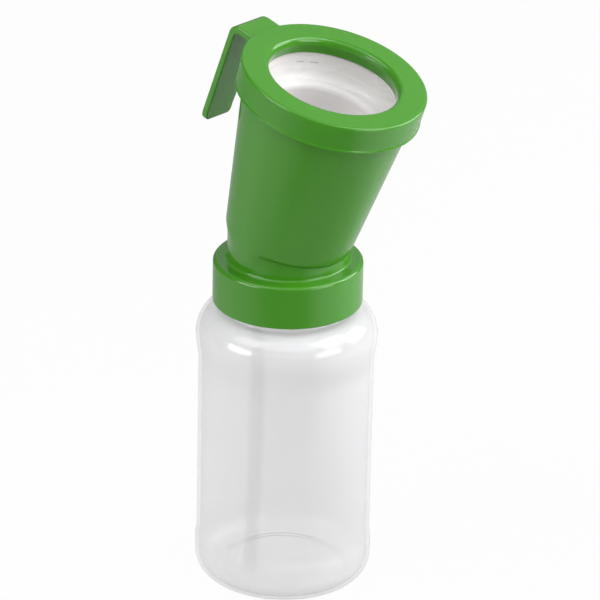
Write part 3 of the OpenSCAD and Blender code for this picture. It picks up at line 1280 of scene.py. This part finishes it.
@dataclass
class HookRing:
    """Threaded ring with a rounded lip, and the belt hook that grows out of it."""

    bore_r: float = 31.1
    ring_r: float = 33.8
    bottom_r: float = 33.5
    low_h: float = 57.2
    top_h: float = 67.5
    lip_r: float = 23.3
    lip_roll: Pair = (1.9, 2.8)
    top_round: float = 0.9
    edge: float = 0.3
    bead: float = 0.27
    bead_round: float = 0.35
    skirt_h: float = 61.3
    skirt_in_r: float = 24.0
    skirt_r: float = 26.0
    plate_h: float = 64.9
    hook_top_h: float = 66.68
    hook_t: float = 2.56
    arm_t: float = 3.0
    bend_r: float = 43.28
    outer_round: float = 4.2
    tip_r: float = 45.88
    tip_h: float = 23.62
    hook_w: float = 15.8
    hook_tip_w: float = 13.8
    hook_turn: float = 6.8
    hook_edge: float = 0.6
    arm_radii: tuple[float, ...] = (31.5, 33.0, 36.0)
    tip_corner: float = 3.0
    tip_len: float = 4.0
    tip_bevel: float = 0.9
    shank_steps: int = 8
    tip_steps: int = 12
    grid: float = 5.0
    thread: Thread = Thread(
        root_r=31.1, crest_r=30.1, pitch=3.0, root_w=1.4, crest_w=0.6, start_z=60.65, turns=1.0
    )

    def outline(self) -> list[Pair]:
        """Returns the ring's closed outline."""
        bead_r = self.bottom_r + self.bead
        wide, deep = self.lip_roll
        line = Outline().to(self.bore_r, self.low_h, self.edge).to(bead_r, self.low_h, self.bead_round)
        line.to(bead_r, self.low_h + 0.6, 0.2).to(self.bottom_r + 0.02, self.low_h + 1.1, self.edge)
        line.to(self.ring_r, self.top_h, self.top_round)
        line.arc((self.lip_r + wide, self.top_h - deep), self.lip_roll, 90, 180)
        line.to(self.skirt_in_r, self.skirt_h, 0.5).to(self.skirt_r, self.skirt_h, self.edge)
        line.to(self.skirt_r, self.plate_h, self.edge).to(self.bore_r, self.plate_h, self.edge)
        return line.points(closed=True)

    def side_line(self) -> list[tuple[Pair, Pair]]:
        """Follows the hook from inside the ring to the tip.

        Returns:
            Pairs of outer and inner points, each a radius and a height along the cup's axis.
        """
        top, t = self.hook_top_h, self.hook_t
        centre = (self.bend_r - self.outer_round, top - self.outer_round)
        inner_round = self.outer_round - t
        inner_h = top - self.arm_t - inner_round
        line = [((r, top), (r, top - self.arm_t)) for r in (*self.arm_radii, centre[0] - 0.6)]
        for k in range(round(90 / ARC_STEP) + 1):
            a = math.radians(90 - ARC_STEP * k)
            c, s = math.cos(a), math.sin(a)
            line.append((
                (centre[0] + self.outer_round * c, centre[1] + self.outer_round * s),
                (centre[0] + inner_round * c, inner_h + inner_round * s),
            ))
        for k in range(1, self.shank_steps + 1):
            s = k / self.shank_steps
            r = self.bend_r + (self.tip_r - self.bend_r) * s
            h = centre[1] + (self.tip_h + self.tip_len - centre[1]) * s
            line.append(((r, h), (r - t, h)))
        for k in range(1, self.tip_steps + 1):
            h = self.tip_h + self.tip_len * (1 - k / self.tip_steps) ** 1.5
            bevel = self.tip_bevel * (1 - min(1.0, (h - self.tip_h) / self.tip_bevel)) ** 2
            line.append(((self.tip_r - bevel, h), (self.tip_r - t + bevel, h)))
        return line

    def half_width(self, height: float) -> float:
        """Works out how far the hook reaches to each side.

        Args:
            height: Height along the cup's axis.

        Returns:
            Reach from the hook's middle.
        """
        bend_h = self.hook_top_h - self.outer_round
        s = min(1.0, max(0.0, (bend_h - height) / (bend_h - self.tip_h)))
        half = (self.hook_w + (self.hook_tip_w - self.hook_w) * s) / 2
        corner = self.tip_corner
        rise = corner - (height - self.tip_h)
        return half - (corner - math.sqrt(max(corner**2 - rise**2, 0.0)) if rise > 0 else 0.0)

    def hook_mesh(self) -> bmesh.types.BMesh:
        """Sweeps the hook's rounded section along its side line.

        Returns:
            The mesh in metres.
        """
        rings: list[Ring] = []
        for outer, inner in self.side_line():
            reach = self.half_width(min(outer[1], inner[1]))
            middle = Vector(((outer[0] + inner[0]) / 2, 0, (outer[1] + inner[1]) / 2))
            across = Vector((outer[0] - inner[0], 0, outer[1] - inner[1])) / 2
            thick = across.length
            across.normalize()
            edge = min(self.hook_edge, thick * 0.8)
            ring: Ring = []
            for side, start in ((1, 0), (-1, 90), (-1, 180), (1, 270)):
                wide = 1 if start < 180 else -1
                for k in range(round(90 / EDGE_STEP) + 1):
                    a = math.radians(start + EDGE_STEP * k)
                    u = side * (thick - edge) + edge * math.cos(a)
                    v = wide * (reach - edge) + edge * math.sin(a)
                    ring.append(middle + across * u + Vector((0, v, 0)))
            rings.append(ring)
        place = CUP @ Matrix.Rotation(math.radians(180 - self.hook_turn), 4, "Z")
        return skin([[place @ p for p in ring] for ring in rings])

    def build(self) -> bpy.types.Object:
        """Makes the ring with its hook and dresses it.

        Returns:
            The ring's object.
        """
        ring = skin(rings_of(densify(self.outline(), self.grid), CUP), closed=True)
        piece = add_piece("ring_and_hook", merge(ring, self.hook_mesh(), self.thread.mesh(CUP)))
        shade(piece)
        dress(piece, RING_GREEN)
        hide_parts("hook_ring")
        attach(piece, "ring")
        return piece


# ---------------------------------------------------------------- dip tube


@dataclass
class DipTube:
    """Soft tube on the spigot: straight down, then bent towards the wall near the base."""

    tube_r: float = 3.1
    bore_r: float = 2.1
    x: float = -12.5
    foot_z: float = 7.0
    top_z: float = 124.0
    bend_r: float = 90.0
    bend: float = 44.0
    turn: float = -60.0
    straight_steps: int = 14
    bend_steps: int = 32

    def path(self) -> list[Vector]:
        """Returns the tube's centreline from its top to its foot."""
        bend_z = self.foot_z + self.bend_r * math.sin(math.radians(self.bend))
        steps = self.straight_steps
        points = [Vector((self.x, 0, self.top_z + (bend_z - self.top_z) * i / steps)) for i in range(steps)]
        aside = Vector((math.cos(math.radians(self.turn)), math.sin(math.radians(self.turn)), 0))
        for i in range(self.bend_steps + 1):
            a = math.radians(self.bend * i / self.bend_steps)
            reach = self.bend_r * (1 - math.cos(a))
            points.append(Vector((self.x, 0, bend_z - self.bend_r * math.sin(a))) + aside * reach)
        return points

    def build(self) -> bpy.types.Object:
        """Makes the tube as one closed shell and dresses it.

        Returns:
            The tube's object.
        """
        path = self.path()
        outer, inner = tube_rings(path, self.tube_r), tube_rings(path, self.bore_r)
        piece = add_piece("dip_tube_run", skin(outer + inner[::-1], closed=True))
        shade(piece)
        dress(piece, TUBE_MILKY)
        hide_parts("dip_tube")
        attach(piece, "head")
        return piece


# ---------------------------------------------------------------- studio


class Lamp(Enum):
    """The seven soft lamps: degrees aside from the camera, degrees up, width, height and power."""

    LEFT = (-61.0, 12.0, 0.6, 0.32, 4.4)
    RIGHT = (54.0, 13.0, 0.6, 0.32, 3.0)
    BACK = (108.0, 24.0, 0.6, 0.6, 5.8)
    RIM = (165.0, 42.0, 1.3, 1.0, 1.8)
    HIGH_LEFT = (-66.0, 50.0, 0.6, 0.5, 2.4)
    HIGH_RIGHT = (78.0, 45.0, 0.8, 0.7, 6.2)
    HIGH_FRONT = (0.0, 60.0, 1.3, 0.8, 4.5)


@dataclass
class Studio:
    """Camera, soft lamps, white floor and even daylight round the object, in metres.

    The floor is plain white where it is looked at. Its tones are painted light and shade: bright and
    dark sectors round the axis, and a painted pool near the object, which the object gets only as soft
    light and painted reflections. They are stops round the axis: 0.5 is the camera's side, 0.75 its
    right and 0.25 its left.
    """

    lens: float = 270.571
    sensor: float = 36.0
    clip: Pair = (0.05, 20.0)
    camera_place: Triple = (0.81747, -1.23210, 0.79450)
    camera_right: Triple = (0.829864, 0.557633, 0.019269)
    camera_up: Triple = (-0.249338, 0.339725, 0.906872)
    lamp_distance: float = 1.0
    aim: Triple = (0.0, 0.0, 0.12)
    world_light: float = 0.16
    floor_size: float = 4.0
    floor_cells: int = 8
    # Painted light and shade on the floor: bright sectors at the sides and a dark one on the camera's side,
    # seen by the object as soft light and reflections.
    painted_floor_sectors: tuple[Pair, ...] = (
        (0.0, 0.4), (0.15, 0.45), (0.24, 0.7), (0.34, 0.62), (0.43, 0.22),
        (0.57, 0.22), (0.64, 0.72), (0.76, 0.72), (0.86, 0.55), (1.0, 0.4),
    )
    # Painted pool of light and shade on the floor close to the object, darker on the camera's right.
    painted_near_pool: tuple[Pair, ...] = (
        (0.0, 0.45), (0.2, 0.62), (0.35, 0.55), (0.55, 0.5), (0.66, 0.3), (0.8, 0.3), (1.0, 0.45),
    )
    near_reach: float = 0.2
    near_share: tuple[Pair, ...] = ((0.05, 0.0), (0.35, 0.8))
    floor_glow: float = 0.97

    def camera(self) -> None:
        """Makes the camera and makes it the scene's."""
        data = bpy.data.cameras.new("camera")
        data.lens, data.sensor_width, data.sensor_fit = self.lens, self.sensor, "HORIZONTAL"
        data.clip_start, data.clip_end = self.clip
        camera = bpy.data.objects.new("camera", data)
        bpy.context.collection.objects.link(camera)
        right, up = Vector(self.camera_right).normalized(), Vector(self.camera_up).normalized()
        back = right.cross(up).normalized()
        turn = Matrix((right, back.cross(right), back)).transposed()
        camera.matrix_world = Matrix.Translation(self.camera_place) @ turn.to_4x4()
        bpy.context.scene.camera = camera

    def camera_azimuth(self) -> float:
        """Returns the camera's direction about the part's axis, in radians."""
        return math.atan2(self.camera_place[1], self.camera_place[0])

    def lamps(self) -> None:
        """Hangs the soft lamps round the object, each turned towards it."""
        for lamp in Lamp:
            aside, rise, wide, high, power = lamp.value
            a, e = self.camera_azimuth() + math.radians(aside), math.radians(rise)
            way = Vector((math.cos(a) * math.cos(e), math.sin(a) * math.cos(e), math.sin(e)))
            data = bpy.data.lights.new("lamp_" + lamp.name.lower(), "AREA")
            data.shape, data.size, data.size_y, data.energy = "RECTANGLE", wide, high, power
            lamp_object = bpy.data.objects.new(data.name, data)
            bpy.context.collection.objects.link(lamp_object)
            lamp_object.location = Vector(self.aim) + way * self.lamp_distance
            lamp_object.rotation_euler = way.to_track_quat("Z", "Y").to_euler()

    def daylight(self) -> None:
        """Lights the room evenly; what looks straight at it sees plain white."""
        mix = Recipe(bpy.data.worlds.new("daylight"))
        lit, plain = (
            mix.node("ShaderNodeBackground", None, {"Color": (1.0, 1.0, 1.0), "Strength": strength})
            for strength in (self.world_light, 1.0)
        )
        shaders = {0: mix.straight_view(), 1: lit.outputs[0], 2: plain.outputs[0]}
        bpy.context.scene.world = mix.finish(mix.node("ShaderNodeMixShader", None, shaders))

    def floor_mesh(self) -> bmesh.types.BMesh:
        """Returns the floor's square grid."""
        cells = self.floor_cells
        places = [self.floor_size * (i / cells - 0.5) for i in range(cells + 1)]
        mesh = bmesh.new()
        rows = [[mesh.verts.new((x, y, 0)) for x in places] for y in places]
        for low, high in zip(rows, rows[1:]):
            for i in range(cells):
                mesh.faces.new((low[i], low[i + 1], high[i + 1], high[i]))
        return mesh

    def floor_white_and_painted_light(self) -> bpy.types.Material:
        """Builds the floor's white, with its painted light and shade for soft light and reflections.

        Returns:
            The finished material.
        """
        mix = Recipe(bpy.data.materials.new("floor_white"))
        spun = mix.stretched((1.0, 1.0, 1.0), (0.0, 0.0, -self.camera_azimuth()))
        sector = mix.value("ShaderNodeTexGradient", 1, {"gradient_type": "RADIAL"}, {"Vector": spun})
        shrunk = mix.stretched((1.0 / self.near_reach,) * 3)
        closeness = mix.value("ShaderNodeTexGradient", 1, {"gradient_type": "SPHERICAL"}, {"Vector": shrunk})
        near = mix.ramp(closeness, self.near_share)
        # Painted light and shade: the floor's sector tones, with the painted pool blended in near the object.
        painted_light_tone = mix.ramp(sector, self.painted_floor_sectors) * (1.0 - near) + mix.ramp(sector, self.painted_near_pool) * near
        matt = {"Base Color": painted_light_tone, "Roughness": 1.0, "Specular IOR Level": 0.0}
        painted_floor_bsdf = mix.node("ShaderNodeBsdfPrincipled", None, matt)
        glow = mix.node("ShaderNodeEmission", None, {"Color": (1.0, 1.0, 1.0), "Strength": 1.0})
        shaders = {0: mix.straight_view() * self.floor_glow, 1: painted_floor_bsdf.outputs[0], 2: glow.outputs[0]}
        return mix.finish(mix.node("ShaderNodeMixShader", None, shaders))

    def floor(self) -> None:
        """Lays the white floor, which keeps the object's soft shadow."""
        floor = add_piece("floor", self.floor_mesh())
        floor.data.materials.append(self.floor_white_and_painted_light())

    def build(self) -> None:
        """Sets up camera, lamps, daylight and floor."""
        self.camera()
        self.lamps()
        self.daylight()
        self.floor()
        bpy.context.scene.view_settings.view_transform = "Standard"


# ---------------------------------------------------------------- everything


def main() -> None:
    """Builds the studio and then the dip cup, piece by piece."""
    logging.basicConfig(level=logging.INFO, format="%(name)s: %(message)s")
    Studio().build()
    for maker in (Bottle(), CupHead(), Insert(), HookRing(), DipTube()):
        piece = maker.build()
        log.info("%s: %d faces", piece.name, len(piece.data.polygons))
    dress_node("cap_gasket", GASKET_GREY)
    log.info("cap_gasket dressed")


if __name__ == "__main__":
    main()
